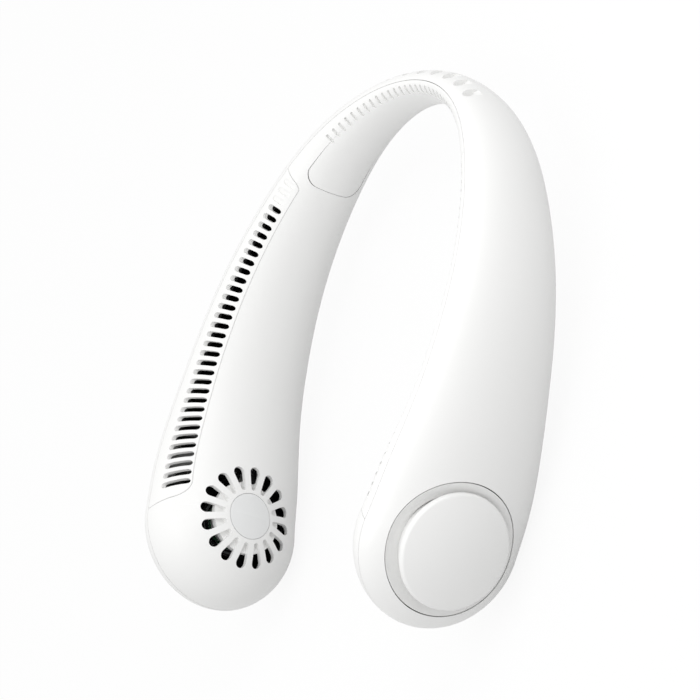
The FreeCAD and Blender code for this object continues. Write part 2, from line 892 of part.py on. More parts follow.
feature("outer_shell", outer_shell())
feature("inner_shell", inner_shell())
feature("neck_panel", neck_panel())
for name, side in SIDES.items():
    feature("outlet_strip_" + name, outlet_strip(side))


# Covers on the outer face of each blower

def lathe(edges):
    """Solid turned about Z from edges in the XZ plane."""
    return Part.Face(closed(edges)).revolve(Vector(), UP, 360)


def flat(radius, height):
    return Vector(radius, 0, height)


def rim_level(side, angle):
    """Height of the outer skin over the edge of a cover, in the cover's frame."""
    radius = S.cover_radius
    foot = Vector(radius * math.cos(angle), radius * math.sin(angle), 0)
    line = placed(Part.makeLine(foot, foot + UP * (S.bulb_outer + S.overrun)), cover_frame(side))
    inside = line.common(OUTER_BODY)
    return max(cover_frame(side).inverse().multVec(v.Point).z for v in inside.Vertexes)


def cover_ring(side):
    """Dish with an open middle, its rim flush with the outer skin and its floor much like it."""
    angles = spread(0.0, 2 * math.pi, DISH_POINT_COUNT + 1)[:-1]
    rims = [rim_level(side, angle) for angle in angles]
    top = S.bulb_outer + S.overrun
    wires = [Part.Wire(Part.makeCircle(S.dish_foot, Vector(0, 0, S.dish_floor)))]
    for out, rise in zip(DISH_CURVE_SHARES, DISH_RISE_SHARES):
        radius = S.dish_foot + (S.cover_radius - S.dish_foot) * out
        points = []
        for angle, rim in zip(angles, rims):
            foot = S.dish_floor + (rim - min(rims)) * DISH_FOLLOW_SHARE
            level = foot + (rim - foot) * rise
            points.append(Vector(radius * math.cos(angle), radius * math.sin(angle), level))
        line = Part.BSplineCurve()
        line.interpolate(points, PeriodicFlag=True)
        wires.append(Part.Wire(line.toShape()))
    wires.append(Part.Wire(Part.makeCircle(radius, Vector(0, 0, top))))
    dish = Part.makeLoft(wires, True, True)
    low = S.dish_floor - S.wall
    ring = Part.makeCylinder(S.cover_radius - S.cover_gap, top - low, Vector(0, 0, low))
    hole = Part.makeCylinder(S.cover_hole, top - low, Vector(0, 0, low))
    over = Part.makeCylinder(S.dish_foot, top - S.dish_floor, Vector(0, 0, S.dish_floor))
    return ring.cut([hole, over, dish])


def cover_cap():
    """Hollow round cap on a stem, its edge rounded into a domed top."""
    stem = S.cap_stem
    foot = S.dish_floor + S.running_gap
    lip = S.cap_edge - S.cap_lip
    edge = flat(S.cap_radius, S.cap_edge)
    turn = math.pi / 2 - math.radians(S.cap_slope)
    middle = flat(S.cap_radius - S.cap_round, S.cap_edge)
    corner = middle + flat(math.cos(turn / 2), math.sin(turn / 2)) * S.cap_round
    shoulder = middle + flat(math.cos(turn), math.sin(turn)) * S.cap_round
    dome = shoulder.x / math.cos(turn)
    centre = shoulder.z - dome * math.sin(turn)
    half = (turn + math.pi / 2) / 2
    bulge = flat(dome * math.cos(half), centre + dome * math.sin(half))
    crown = flat(0, centre + dome)
    points = [edge, flat(S.cap_radius, lip), flat(stem, lip), flat(stem, foot), flat(stem - S.cap_wall, foot),
              flat(stem - S.cap_wall, S.cap_edge), flat(0, S.cap_edge), crown]
    edges = [Part.makeLine(a, b) for a, b in zip(points, points[1:])]
    edges.append(Part.Arc(crown, bulge, shoulder).toShape())
    edges.append(Part.Arc(shoulder, corner, edge).toShape())
    return lathe(edges)


for name, side in SIDES.items():
    feature("cover_ring_" + name, cover_ring(side), cover_frame(side))
    feature("cover_cap_" + name, cover_cap(), cover_frame(side))
    plate = INNER_BODY.common(placed(plate_block(S.seam_gap), blower_frame(side)))
    feature("rating_plate_" + name, plate)


# Motor and impeller

def stator_core():
    """Laminated core: a hub with poles that end in wide shoes."""
    foot = Vector(0, 0, STATOR_LOW)
    core = Part.makeCylinder(S.stator_hub, S.stator_height, foot)
    rim = Part.makeCylinder(S.stator_radius, S.stator_height, foot)
    rim = rim.cut(Part.makeCylinder(S.stator_radius - S.can_wall, S.stator_height, foot))
    shoe = Part.makeBox(S.stator_radius, S.pole_width * SHOE_SHARE, S.stator_height,
                        Vector(0, -S.pole_width * SHOE_SHARE / 2, STATOR_LOW)).common(rim)
    pole = Part.makeBox(S.stator_radius - S.can_wall, S.pole_width, S.stator_height,
                        Vector(0, -S.pole_width / 2, STATOR_LOW))
    arms = []
    for index in range(POLE_COUNT):
        for solid in (pole, shoe):
            arms.append(placed(solid, Placement(Vector(), Rotation(UP, 360 * index / POLE_COUNT))))
    bore = Part.makeCylinder(S.tube_radius + S.running_gap, S.stator_height, foot)
    return core.fuse(arms).removeSplitter().cut(bore)


def stator_coils():
    """One rectangular coil round each pole."""
    gap = S.running_gap
    wall = S.coil_wall
    width = S.pole_width + 2 * gap
    height = S.stator_height + 2 * gap
    start = S.stator_hub + gap
    end = math.sqrt((S.stator_radius - S.can_wall) ** 2 - (width / 2 + wall) ** 2) - gap
    length = end - start
    outside = Part.makeBox(length, width + 2 * wall, height + 2 * wall,
                           Vector(start, -width / 2 - wall, STATOR_LOW - gap - wall))
    inside = Part.makeBox(length, width, height, Vector(start, -width / 2, STATOR_LOW - gap))
    coil = outside.cut(inside)
    turns = [Rotation(UP, 360 * index / POLE_COUNT) for index in range(POLE_COUNT)]
    return Part.makeCompound([placed(coil, Placement(Vector(), turn)) for turn in turns])


def impeller(label, place):
    """Blower wheel: a cup over the rotor, a disc and a ring of curved blades."""
    body = doc.addObject("PartDesign::Body", label)
    wheel = [(Size(0, "0"), DISC_LOW), (Size(0, "0"), DISC_TOP), (S.impeller_radius, DISC_TOP),
             (S.impeller_radius, DISC_LOW), (CUP_RADIUS, DISC_LOW), (CUP_RADIUS, CAN_LOW),
             (CUP_INNER, CAN_LOW), (CUP_INNER, DISC_LOW)]
    outline = sketch(body, label + "_wheel_outline", "XZ_Plane", wheel)
    turn = body.newObject("PartDesign::Revolution", label + "_wheel")
    turn.Profile = outline
    turn.ReferenceAxis = (outline, ["V_Axis"])
    doc.recompute()
    points = []
    for share, sweep in zip(BLADE_SHARES, BLADE_SWEEP_SHARES):
        radius = S.blade_inner + (S.impeller_radius - S.blade_inner) * share
        points.append((radius, S.blade_thickness * sweep))
    points += [(x, y + S.blade_thickness) for x, y in reversed(points)]
    blade_outline = sketch(body, label + "_blade_outline", "XY_Plane", points)
    blade_outline.setExpression("AttachmentOffset.Base.z", DISC_LOW.text)
    blade = body.newObject("PartDesign::Pad", label + "_blade")
    blade.Profile = blade_outline
    blade.Reversed = True
    bind(blade, "Length", S.blade_drop)
    doc.recompute()
    blades = body.newObject("PartDesign::PolarPattern", label + "_blades")
    blades.Originals = [blade]
    blades.Axis = (outline, ["V_Axis"])
    blades.Angle = 360
    blades.Occurrences = BLADE_COUNT
    body.Tip = blades
    doc.recompute()
    low = DISC_LOW - S.blade_drop
    inner = S.impeller_radius - S.cup_wall
    outer = S.impeller_radius + S.cup_wall * RIM_SHARE
    rim = [(inner, low), (outer, low), (outer, low + S.cup_wall), (inner, low + S.cup_wall)]
    rim_outline = sketch(body, label + "_rim_outline", "XZ_Plane", rim)
    ring = body.newObject("PartDesign::Revolution", label + "_rim")
    ring.Profile = rim_outline
    ring.ReferenceAxis = (rim_outline, ["V_Axis"])
    body.Tip = ring
    return keep(body, place)


def scroll():
    """Wall round the impeller, open towards the arm."""
    share = S.scroll_radius / (S.bulb_height - S.wall)
    low = S.seam_gap - (S.bulb_inner - S.wall) * math.sqrt(1 - share * share)
    height = S.dish_floor - S.wall - S.seam_gap - low
    ring = Part.makeCylinder(S.scroll_radius, height, Vector(0, 0, low))
    ring = ring.cut(Part.makeCylinder(S.scroll_radius - S.scroll_wall, height, Vector(0, 0, low)))
    mouth = Part.makeBox(S.scroll_radius, S.scroll_mouth, height,
                         Vector(-S.scroll_radius, -S.scroll_mouth / 2, low))
    return ring.cut(mouth)


for name, side in SIDES.items():
    place = blower_frame(side)
    gap = S.running_gap
    feature("blower_scroll_" + name, scroll(), place)
    screw_spots = [place.inverse().multiply(spot) for spot in motor_screw_frames(side)]
    board = Part.makeCylinder(S.motor_board_radius, S.board_thickness, Vector(0, 0, BOSS_TOP))
    board = board.cut([Part.makeCylinder(S.tube_radius + gap, S.board_thickness, Vector(0, 0, BOSS_TOP))]
                      + [placed(screw_hole(), spot) for spot in screw_spots])
    feature("motor_board_" + name, board, place)
    screws = Part.makeCompound([placed(screw(), spot) for spot in motor_screw_frames(side)])
    feature("motor_screws_" + name, screws)
    turned("bearing_tube_" + name, [(S.tube_radius, BOSS_TOP, TUBE_TOP)],
           [(TUBE_BORE, BOSS_TOP + S.can_wall, TUBE_TOP)], place)
    bearings = []
    for level in (BOSS_TOP + S.can_wall + gap, TUBE_TOP - S.bearing_width):
        foot = Vector(0, 0, level)
        hole = Part.makeCylinder(S.shaft_radius + gap, S.bearing_width, foot)
        bearings.append(Part.makeCylinder(TUBE_BORE - gap, S.bearing_width, foot).cut(hole))
    feature("motor_bearings_" + name, Part.makeCompound(bearings), place)
    feature("stator_core_" + name, stator_core(), place)
    feature("stator_coils_" + name, stator_coils(), place)
    turned("rotor_can_" + name, [(CAN_RADIUS, CAN_LOW, CAN_TOP)],
           [(CAN_INNER, CAN_LOW, CAN_TOP - S.can_wall), (S.shaft_radius + gap, CAN_LOW, CAN_TOP)], place)
    magnet_low = CAN_LOW + S.can_wall
    magnet_top = STATOR_TOP + S.can_wall
    turned("rotor_magnet_" + name, [(MAGNET_OUTER, magnet_low, magnet_top)],
           [(MAGNET_INNER, magnet_low, magnet_top)], place)
    turned("motor_shaft_" + name, [(S.shaft_radius, BOSS_TOP + S.can_wall + S.seam_gap, CAN_TOP)], (), place)
    impeller("impeller_" + name, place)


# Air ducts under the strips

def air_duct(side):
    """Thin tube above the battery, open under the slots."""
    inset = S.wall + S.duct_gap
    outside = arm_tube(side, inset, S.duct_start, S.duct_end)
    inside = arm_tube(side, inset + S.duct_wall,
                      S.duct_start - S.overrun, S.duct_end + S.overrun)
    reach = BULB_REACH + S.bulb_height
    low = LEVEL + S.duct_floor

    def slab(bottom, top):
        return Part.makeBox(2 * reach, 2 * reach, top - bottom, Vector(-reach, -reach, bottom))

    duct = outside.cut(inside.common(slab(low + S.duct_wall, low + S.bulb_height + S.overrun)))
    duct = duct.cut(slab(LEVEL - S.bulb_height - S.overrun, low))
    window, border = arm_band(side, S.duct_start + S.slot_width, S.duct_end - S.slot_width, (0.0, 0.0),
                              lambda place: inner_depth(place) * DUCT_WINDOW_SHARES[0],
                              lambda place: inner_depth(place) * DUCT_WINDOW_SHARES[1],
                              S.duct_floor + 2 * S.duct_wall)
    return duct.cut(window)


for name, side in SIDES.items():
    feature("air_duct_" + name, air_duct(side))


# Batteries

for name, side in SIDES.items():
    place = frame(*station(side * S.cell_station))
    top = S.duct_floor - S.pad_thickness - S.running_gap
    corner_z = -S.cell_shift - S.cell_thickness / 2
    low = top - S.cell_height
    base = -top if side > 0 else low
    box("battery_cell_" + name, (S.cell_length, S.cell_height, S.cell_thickness),
        (-S.cell_length / 2, base, corner_z), place)
    pad_base = -top - S.pad_thickness if side > 0 else top
    box("battery_pad_" + name, (S.cell_length, S.pad_thickness, S.cell_thickness),
        (-S.cell_length / 2, pad_base, corner_z), place)


# Leads

def bent_path(points, bend):
    """Straight runs joined by tangent arcs."""
    edges = []
    start = points[0]
    for before, corner, after in zip(points, points[1:], points[2:]):
        way_in = (corner - before).normalize()
        way_out = (after - corner).normalize()
        half = way_in.getAngle(way_out) / 2
        trim = bend * math.tan(half)
        inward = (way_out - way_in).normalize()
        middle = corner + inward * (bend / math.cos(half) - bend)
        edges.append(Part.makeLine(start, corner - way_in * trim))
        edges.append(Part.Arc(corner - way_in * trim, middle, corner + way_out * trim).toShape())
        start = corner + way_out * trim
    edges.append(Part.makeLine(start, points[-1]))
    return Part.Wire(edges)


def tube(path, radius):
    first = path.Edges[0]
    profile = Part.Wire(Part.makeCircle(radius, first.valueAt(first.FirstParameter),
                                        first.tangentAt(first.FirstParameter)))
    return path.makePipeShell([profile], True, False)


def beside(reach, depth, drop):
    """Point beside the centre line: towards the neck and down."""
    point, tangent, outward = station(reach)
    return point - outward * depth - UP * drop


def link_cable():
    """Cable through the nape from cell to cell, along the arcs of the centre line."""
    end = S.cell_station - S.cell_length / 2 - S.seam_gap
    turn = S.back_radius * math.radians(S.back_angle)
    stops = [-end, -turn, turn, end]
    edges = []
    for first, last in zip(stops, stops[1:]):
        spots = [beside(reach, -S.cable_shift, S.cable_drop) for reach in (first, (first + last) / 2, last)]
        edges.append(Part.Arc(*spots).toShape())
    return tube(Part.Wire(edges), S.cable_radius)


LEAD_DROP = S.control_foot - S.control_height - S.lead_radius - 2 * S.seam_gap


def motor_start(side):
    """Where a motor's leads leave the boss, just above the control board's level."""
    point, tangent, outward = station(side * BULB_REACH)
    run = math.sqrt(S.boss_radius ** 2 - (LEAD_DROP - S.lead_radius) ** 2) + S.seam_gap
    return point - tangent * run + outward * ((HUB_FACE + BOSS_TOP) / 2) - UP * LEAD_DROP


def left_leads():
    """From the motor over the board's boss, then back to the board."""
    run = S.control_screw_place - 2 * S.screw_boss
    back = S.control_face + S.control_thickness + S.seam_gap
    low = LEAD_DROP + 4 * S.lead_radius
    end = control_point(run, back, low)
    near = control_point(run, back + S.lead_bend, low)
    turn = control_point(run, back + 3 * S.lead_bend, LEAD_DROP)
    return tube(bent_path([motor_start(1), turn, near, end], S.lead_bend), S.lead_radius)


def right_leads():
    """From the motor under the impeller, then out to the end of the cell."""
    point, tangent, outward = station(-S.cell_station)
    end = point + tangent * (S.cell_length / 2 + S.seam_gap) - outward * S.cell_shift - UP * LEAD_DROP
    near = end + tangent * (2 * S.lead_bend)
    depth = inner_depth(S.cell_station) - S.cell_shift
    turn = beside(-(S.cell_station + S.cell_length), depth, LEAD_DROP)
    return tube(bent_path([motor_start(-1), turn, near, end], S.lead_bend), S.lead_radius)


feature("link_cable", link_cable())
feature("motor_leads_left", left_leads())
feature("motor_leads_right", right_leads())


# Control board and what it carries

def upright(run, depth, drop):
    """Frame at a point beside the board, Z up."""
    return Placement(control_point(run, depth, drop), Rotation(CONTROL[1], UP.cross(CONTROL[1]), UP, "ZXY"))


def control_board():
    point, tangent, outward = CONTROL
    depth = S.control_face + S.control_thickness / 2
    centre = control_point(0.0, depth, S.control_foot - S.control_height / 2)
    board = block(centre, (tangent, UP, outward), (S.control_length, S.control_height, S.control_thickness))
    return board.cut([placed(screw_hole(), place) for place in control_screw_frames()])


def usb_socket():
    """Folded metal shell with a contact tongue."""
    mouth = skin_drop(S.control_station - S.usb_place, PORT_DEPTH) - S.usb_recess
    back = mouth - S.usb_length
    shell = port_tool(0.0, mouth, back).cut(port_tool(-S.usb_wall, mouth, back + S.wall))
    length = S.usb_length * TONGUE_SHARE
    tongue = block(control_point(-S.usb_place, PORT_DEPTH, back + length / 2), (CONTROL[1], UP, CONTROL[2]),
                   (S.usb_width - S.usb_thickness, length, S.usb_wall * 2))
    return shell.fuse(tongue)


BUTTON_DROP = skin_drop(BUTTON_REACH, PORT_DEPTH)

feature("control_board", control_board())
feature("usb_socket", usb_socket())
turned("power_button", [(S.button_radius, -S.button_proud, S.button_depth),
                        (S.button_radius + S.button_flange, S.button_depth, BUTTON_TOP)], (),
       upright(S.button_place, PORT_DEPTH, BUTTON_DROP))
plunger = BUTTON_TOP + S.button_travel + S.port_clearance
switch = Part.makeCylinder(S.plunger_radius, S.button_travel * 2, Vector(0, 0, plunger))
case_corner = Vector(-S.switch_width / 2, PORT_DEPTH - S.control_face + S.running_gap,
                     plunger + S.button_travel * 2)
case = Part.makeBox(S.switch_width, S.switch_width, S.switch_height, case_corner)
feature("push_switch", switch.fuse(case), upright(S.button_place, PORT_DEPTH, BUTTON_DROP))
lens_drop = skin_drop(S.control_station, PORT_DEPTH) - S.seam_gap
turned("indicator_lens", [(S.lens_radius, Size(0, "0"), S.lens_length)], (),
       upright(0.0, PORT_DEPTH, lens_drop))
feature("board_screws", Part.makeCompound([placed(screw(), place) for place in control_screw_frames()]))
feature("neck_screws", Part.makeCompound([placed(screw(), neck_screw_frame(reach))
                                          for reach in NECK_SCREW_REACHES]))

# Check and write

doc.recompute()
for item in doc.Objects:
    if "Invalid" in item.State or "Error" in item.State:
        raise RuntimeError("failed object " + item.Label)
for item in PARTS:
    if item.Shape.isNull() or not item.Shape.isValid():
        raise RuntimeError("bad shape " + item.Label)
os.makedirs("parts", exist_ok=True)
for item in PARTS:
    item.Shape.exportStep("parts/%s.step" % item.Label)
    print("%-22s solids %2d volume %10.2f" % (item.Label, len(item.Shape.Solids), item.Shape.Volume))
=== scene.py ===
"""Look of the electric neck fan: finishes for every piece, cells and pads, floor, light and camera."""
import math

import bmesh
import bpy
from mathutils import Euler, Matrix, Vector


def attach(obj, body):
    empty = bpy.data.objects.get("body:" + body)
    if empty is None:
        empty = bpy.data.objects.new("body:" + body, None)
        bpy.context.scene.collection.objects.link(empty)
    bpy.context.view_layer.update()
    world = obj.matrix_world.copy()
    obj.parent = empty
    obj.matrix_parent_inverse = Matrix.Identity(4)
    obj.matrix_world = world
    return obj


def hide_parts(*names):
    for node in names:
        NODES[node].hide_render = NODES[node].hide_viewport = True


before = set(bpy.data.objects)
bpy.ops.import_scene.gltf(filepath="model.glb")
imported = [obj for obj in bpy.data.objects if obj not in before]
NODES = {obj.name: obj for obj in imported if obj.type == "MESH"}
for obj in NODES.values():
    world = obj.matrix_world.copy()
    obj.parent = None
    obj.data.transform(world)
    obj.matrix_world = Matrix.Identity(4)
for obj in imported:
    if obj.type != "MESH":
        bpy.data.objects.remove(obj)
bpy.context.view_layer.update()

SIDES = ("left", "right")
MM = 0.001
RING_STEPS = 48
# A section is a place along the length, a width and a thickness, as shares of the CAD box.
# A pouch cell goes from its sealed end to its folded end.
POUCH_SECTIONS = ((-1.0, 0.96, 0.08), (-0.94, 0.965, 0.09), (-0.92, 0.98, 0.5), (-0.88, 0.995, 0.9),
                  (-0.8, 1.0, 0.98), (0.0, 1.0, 1.0), (0.88, 1.0, 0.98), (0.95, 0.995, 0.9),
                  (0.985, 0.98, 0.6), (1.0, 0.95, 0.3))
POUCH_CORNER = 0.35
# A die-cut pad has the same soft edge at both ends.
PAD_SECTIONS = ((-1.0, 0.99, 0.7), (-0.99, 1.0, 0.92), (-0.9, 1.0, 1.0), (0.9, 1.0, 1.0),
                (0.99, 1.0, 0.92), (1.0, 0.99, 0.7))
PAD_CORNER = 0.2
# Corner radii of mouldings and windings that the CAD leaves sharp.
CAP_EDGE = 0.15 * MM
COIL_EDGE = 0.3 * MM
BUTTON_EDGE = 0.2 * MM
EDGE_STEPS = 3
SHARP_ANGLE = math.radians(40)
WELD_REACH = 0.001 * MM
# The floor is a sheet just under the part.
FLOOR_REACH = 3.0
FLOOR_DROP = 0.5 * MM
LAMP_SIZE = 0.25
SIDE_LIGHT_PLACE = (0.129, -0.118, 0.44)
TOP_LIGHT_PLACE = (0.235, 0.217, 0.357)
LIGHT_AIM = Vector((0, 0, 30 * MM))
FAR_CLIP = 20.0

bl_info = {
    "name": "Neck fan",
    "version": (1, 0, 0),
    "blender": (4, 5, 0),
    "location": "3D view > Sidebar > Neck fan",
    "description": "Finishes and fine pieces of an electric neck fan, with a plain studio",
    "category": "Object",
}


def linear(code):
    """Linear RGBA of an sRGB hex colour."""
    parts = [int(code[i:i + 2], 16) / 255 for i in (0, 2, 4)]
    return tuple(c / 12.92 if c <= 0.04045 else ((c + 0.055) / 1.055) ** 2.4 for c in parts) + (1.0,)


def darker(tone, share):
    return [part * share for part in tone[:3]] + [1.0]


def colour(name, description, code):
    return bpy.props.FloatVectorProperty(name=name, description=description, subtype="COLOR", size=4,
                                         min=0.0, max=1.0, default=linear(code))


def length(name, description, value):
    return bpy.props.FloatProperty(name=name, description=description, default=value, unit="LENGTH",
                                   precision=5)


def power(name, description, value):
    return bpy.props.FloatProperty(name=name, description=description, default=value, unit="POWER")


class NeckFanFinish(bpy.types.PropertyGroup):
    shell: colour("Shell", "White of the moulded shells", "f3f3f2")
    plate: colour("Plate", "Film on the plates inside the grilles", "ebecec")
    dark: colour("Dark parts", "Black of the ducts and blower wheels", "0d0d0e")
    board: colour("Boards", "Solder mask of the circuit boards", "0f4a2a")
    sleeve: colour("Lead sleeves", "Sleeve of the motor and battery leads", "161617")
    pouch: colour("Cells", "Pouch of the battery cells", "b9bdc2")
    grit: length("Grit", "Spacing of the texture on the shells", 0.45 * MM)
    relief: length("Relief", "Height of the texture on the shells", 0.004 * MM)


class NeckFanStudio(bpy.types.PropertyGroup):
    lens: bpy.props.FloatProperty(name="Lens", description="Focal length of the camera", default=217.0,
                                  unit="CAMERA")
    place: bpy.props.FloatVectorProperty(name="Camera", description="Where the camera stands", size=3,
                                         subtype="TRANSLATION", default=(1.27367, -0.22548, 0.76711))
    turn: bpy.props.FloatVectorProperty(name="Turn", description="How the camera is turned", size=3,
                                        subtype="EULER",
                                        default=[math.radians(a) for a in (28.9404, 55.8026, 23.9284)])
    side: power("Side light", "Power of the soft light at the open ends", 0.3)
    top: power("Top light", "Power of the soft light at the nape", 0.42)
    sky: bpy.props.FloatProperty(name="Sky", description="Strength of the even light all round",
                                 default=0.88)


def finish():
    return bpy.context.scene.neck_fan_finish


def studio():
    return bpy.context.scene.neck_fan_studio


def add_node(tree, kind, inputs=(), **settings):
    """Adds a shader node, sets its properties, then fills or links its sockets."""
    node = tree.nodes.new(kind)
    for name, value in settings.items():
        setattr(node, name, value)
    for socket, value in dict(inputs).items():
        if isinstance(value, bpy.types.NodeSocket):
            tree.links.new(value, node.inputs[socket])
        else:
            node.inputs[socket].default_value = value
    return node


def new_material(name):
    """New node material with an empty tree."""
    material = bpy.data.materials.new(name)
    material.use_nodes = True
    tree = material.node_tree
    tree.nodes.clear()
    return material, tree


MADE = {}


def made_once(builder):
    """Keeps one copy of each material."""
    def wrapped():
        if builder.__name__ not in MADE:
            MADE[builder.__name__] = builder()
        return MADE[builder.__name__]
    return wrapped


# ABS, moulded against a fine spark-eroded tool: an even satin white with a soft broad highlight
# and a grain that only breaks the highlight up a little. The grit is drawn coarser than the real
# 0.05 mm, so that it shows. The white drifts slightly over 35 mm from the flow of the plastic.
@made_once
def satin_white_abs():
    material, tree = new_material("ABS, moulded satin white")
    place = add_node(tree, "ShaderNodeTexCoord").outputs["Object"]
    shell = finish().shell
    flow = add_node(tree, "ShaderNodeTexNoise", {"Vector": place, "Scale": 1 / (35 * MM), "Detail": 2.0})
    tone = add_node(tree, "ShaderNodeValToRGB", {"Fac": flow.outputs["Fac"]})
    tone.color_ramp.elements[0].color = darker(shell, 0.985)
    tone.color_ramp.elements[1].color = shell
    grit = add_node(tree, "ShaderNodeTexNoise", {"Vector": place, "Scale": 1 / finish().grit,
                                                 "Detail": 3.0})
    rough = add_node(tree, "ShaderNodeMapRange", {"Value": grit.outputs["Fac"], "To Min": 0.38,
                                                  "To Max": 0.5})
    bump = add_node(tree, "ShaderNodeBump", {"Height": grit.outputs["Fac"], "Strength": 1.0,
                                             "Distance": finish().relief})
    shader = add_node(tree, "ShaderNodeBsdfPrincipled",
                      {"Base Color": tone.outputs["Color"], "Roughness": rough.outputs["Result"],
                       "Normal": bump.outputs["Normal"], "IOR": 1.53})
    add_node(tree, "ShaderNodeOutputMaterial", {"Surface": shader.outputs["BSDF"]})
    return material


# Polycarbonate film, matt laminated: a shade greyer and smoother than the shell round it, with a
# grain of 0.6 mm, drawn coarser than the real one so that it shows.
@made_once
def matt_label_film():
    material, tree = new_material("Polycarbonate film, matt laminated")
    place = add_node(tree, "ShaderNodeTexCoord").outputs["Object"]
    plate = finish().plate
    grain = add_node(tree, "ShaderNodeTexNoise", {"Vector": place, "Scale": 1 / (0.6 * MM), "Detail": 2.0})
    tone = add_node(tree, "ShaderNodeValToRGB", {"Fac": grain.outputs["Fac"]})
    tone.color_ramp.elements[0].color = darker(plate, 0.97)
    tone.color_ramp.elements[1].color = plate
    rough = add_node(tree, "ShaderNodeMapRange", {"Value": grain.outputs["Fac"], "To Min": 0.34,
                                                  "To Max": 0.42})
    shader = add_node(tree, "ShaderNodeBsdfPrincipled",
                      {"Base Color": tone.outputs["Color"], "Roughness": rough.outputs["Result"],
                       "IOR": 1.58})
    add_node(tree, "ShaderNodeOutputMaterial", {"Surface": shader.outputs["BSDF"]})
    return material


# ABS, moulded matt black: nearly no highlight, slightly uneven from the flow of the plastic, with a
# texture of 1.2 mm.
@made_once
def matt_black_abs():
    material, tree = new_material("ABS, moulded matt black")
    place = add_node(tree, "ShaderNodeTexCoord").outputs["Object"]
    grain = add_node(tree, "ShaderNodeTexNoise", {"Vector": place, "Scale": 1 / (1.2 * MM), "Detail": 4.0})
    rough = add_node(tree, "ShaderNodeMapRange", {"Value": grain.outputs["Fac"], "To Min": 0.5,
                                                  "To Max": 0.7})
    bump = add_node(tree, "ShaderNodeBump", {"Height": grain.outputs["Fac"], "Distance": 0.01 * MM})
    shader = add_node(tree, "ShaderNodeBsdfPrincipled",
                      {"Base Color": finish().dark, "Roughness": rough.outputs["Result"],
                       "Normal": bump.outputs["Normal"], "IOR": 1.53})
    add_node(tree, "ShaderNodeOutputMaterial", {"Surface": shader.outputs["BSDF"]})
    return material


# Glass-filled epoxy under solder mask: glossy green with a weave of 0.8 by 0.4 mm just visible.
@made_once
def solder_masked_board():
    material, tree = new_material("Epoxy glass board, solder masked")
    place = add_node(tree, "ShaderNodeTexCoord").outputs["Object"]
    mask = finish().board
    weave = add_node(tree, "ShaderNodeTexBrick",
                     {"Vector": place, "Scale": 1 / (1.6 * MM), "Mortar Size": 0.03, "Color1": mask,
                      "Color2": darker(mask, 0.85), "Mortar": darker(mask, 0.7)})
    shader = add_node(tree, "ShaderNodeBsdfPrincipled",
                      {"Base Color": weave.outputs["Color"], "Roughness": 0.25, "IOR": 1.55})
    add_node(tree, "ShaderNodeOutputMaterial", {"Surface": shader.outputs["BSDF"]})
    return material


def turned_metal(name, code, low, high):
    """Metal whose gloss varies in a grain of 0.3 mm, drawn coarser than the real one so that it shows."""
    material, tree = new_material(name)
    place = add_node(tree, "ShaderNodeTexCoord").outputs["Object"]
    grain = add_node(tree, "ShaderNodeTexNoise", {"Vector": place, "Scale": 1 / (0.3 * MM), "Detail": 5.0})
    rough = add_node(tree, "ShaderNodeMapRange", {"Value": grain.outputs["Fac"], "To Min": low,
                                                  "To Max": high})
    shader = add_node(tree, "ShaderNodeBsdfPrincipled",
                      {"Base Color": linear(code), "Metallic": 1.0, "Roughness": rough.outputs["Result"]})
    add_node(tree, "ShaderNodeOutputMaterial", {"Surface": shader.outputs["BSDF"]})
    return material


# Steel with a zinc plating: grey, softly shiny.
@made_once
def zinc_plated_steel():
    return turned_metal("Steel, zinc plated", "b4b6b8", 0.25, 0.4)


# Brass, turned: warm yellow, shinier than the steel.
@made_once
def turned_brass():
    return turned_metal("Brass, turned", "c9a45a", 0.22, 0.35)


# Copper wire under clear enamel: deep orange and glossy. The wave repeats about every third of its
# scale, which gives rows 0.5 mm apart, drawn coarser than the real 0.25 mm wire so that they show.
@made_once
def enamelled_copper():
    material, tree = new_material("Copper wire, enamelled")
    place = add_node(tree, "ShaderNodeTexCoord").outputs["Object"]
    rows = add_node(tree, "ShaderNodeTexWave", {"Vector": place, "Scale": 1 / (1.575 * MM),
                                                "Distortion": 0.4})
    bump = add_node(tree, "ShaderNodeBump", {"Height": rows.outputs["Fac"], "Distance": 0.06 * MM})
    shader = add_node(tree, "ShaderNodeBsdfPrincipled",
                      {"Base Color": linear("b5622f"), "Metallic": 1.0, "Roughness": 0.28,
                       "Normal": bump.outputs["Normal"], "Coat Weight": 0.6})
    add_node(tree, "ShaderNodeOutputMaterial", {"Surface": shader.outputs["BSDF"]})
    return material


# Bonded ferrite: dull dark grey with grains of 0.4 mm, coarser than the real ones.
@made_once
def bonded_ferrite():
    material, tree = new_material("Ferrite, bonded")
    place = add_node(tree, "ShaderNodeTexCoord").outputs["Object"]
    grain = add_node(tree, "ShaderNodeTexVoronoi", {"Vector": place, "Scale": 1 / (0.4 * MM)})
    tone = add_node(tree, "ShaderNodeValToRGB", {"Fac": grain.outputs["Distance"]})
    tone.color_ramp.elements[0].color = linear("1b1b1d")
    tone.color_ramp.elements[1].color = linear("2b2b2e")
    shader = add_node(tree, "ShaderNodeBsdfPrincipled", {"Base Color": tone.outputs["Color"],
                                                         "Roughness": 0.65})
    add_node(tree, "ShaderNodeOutputMaterial", {"Surface": shader.outputs["BSDF"]})
    return material


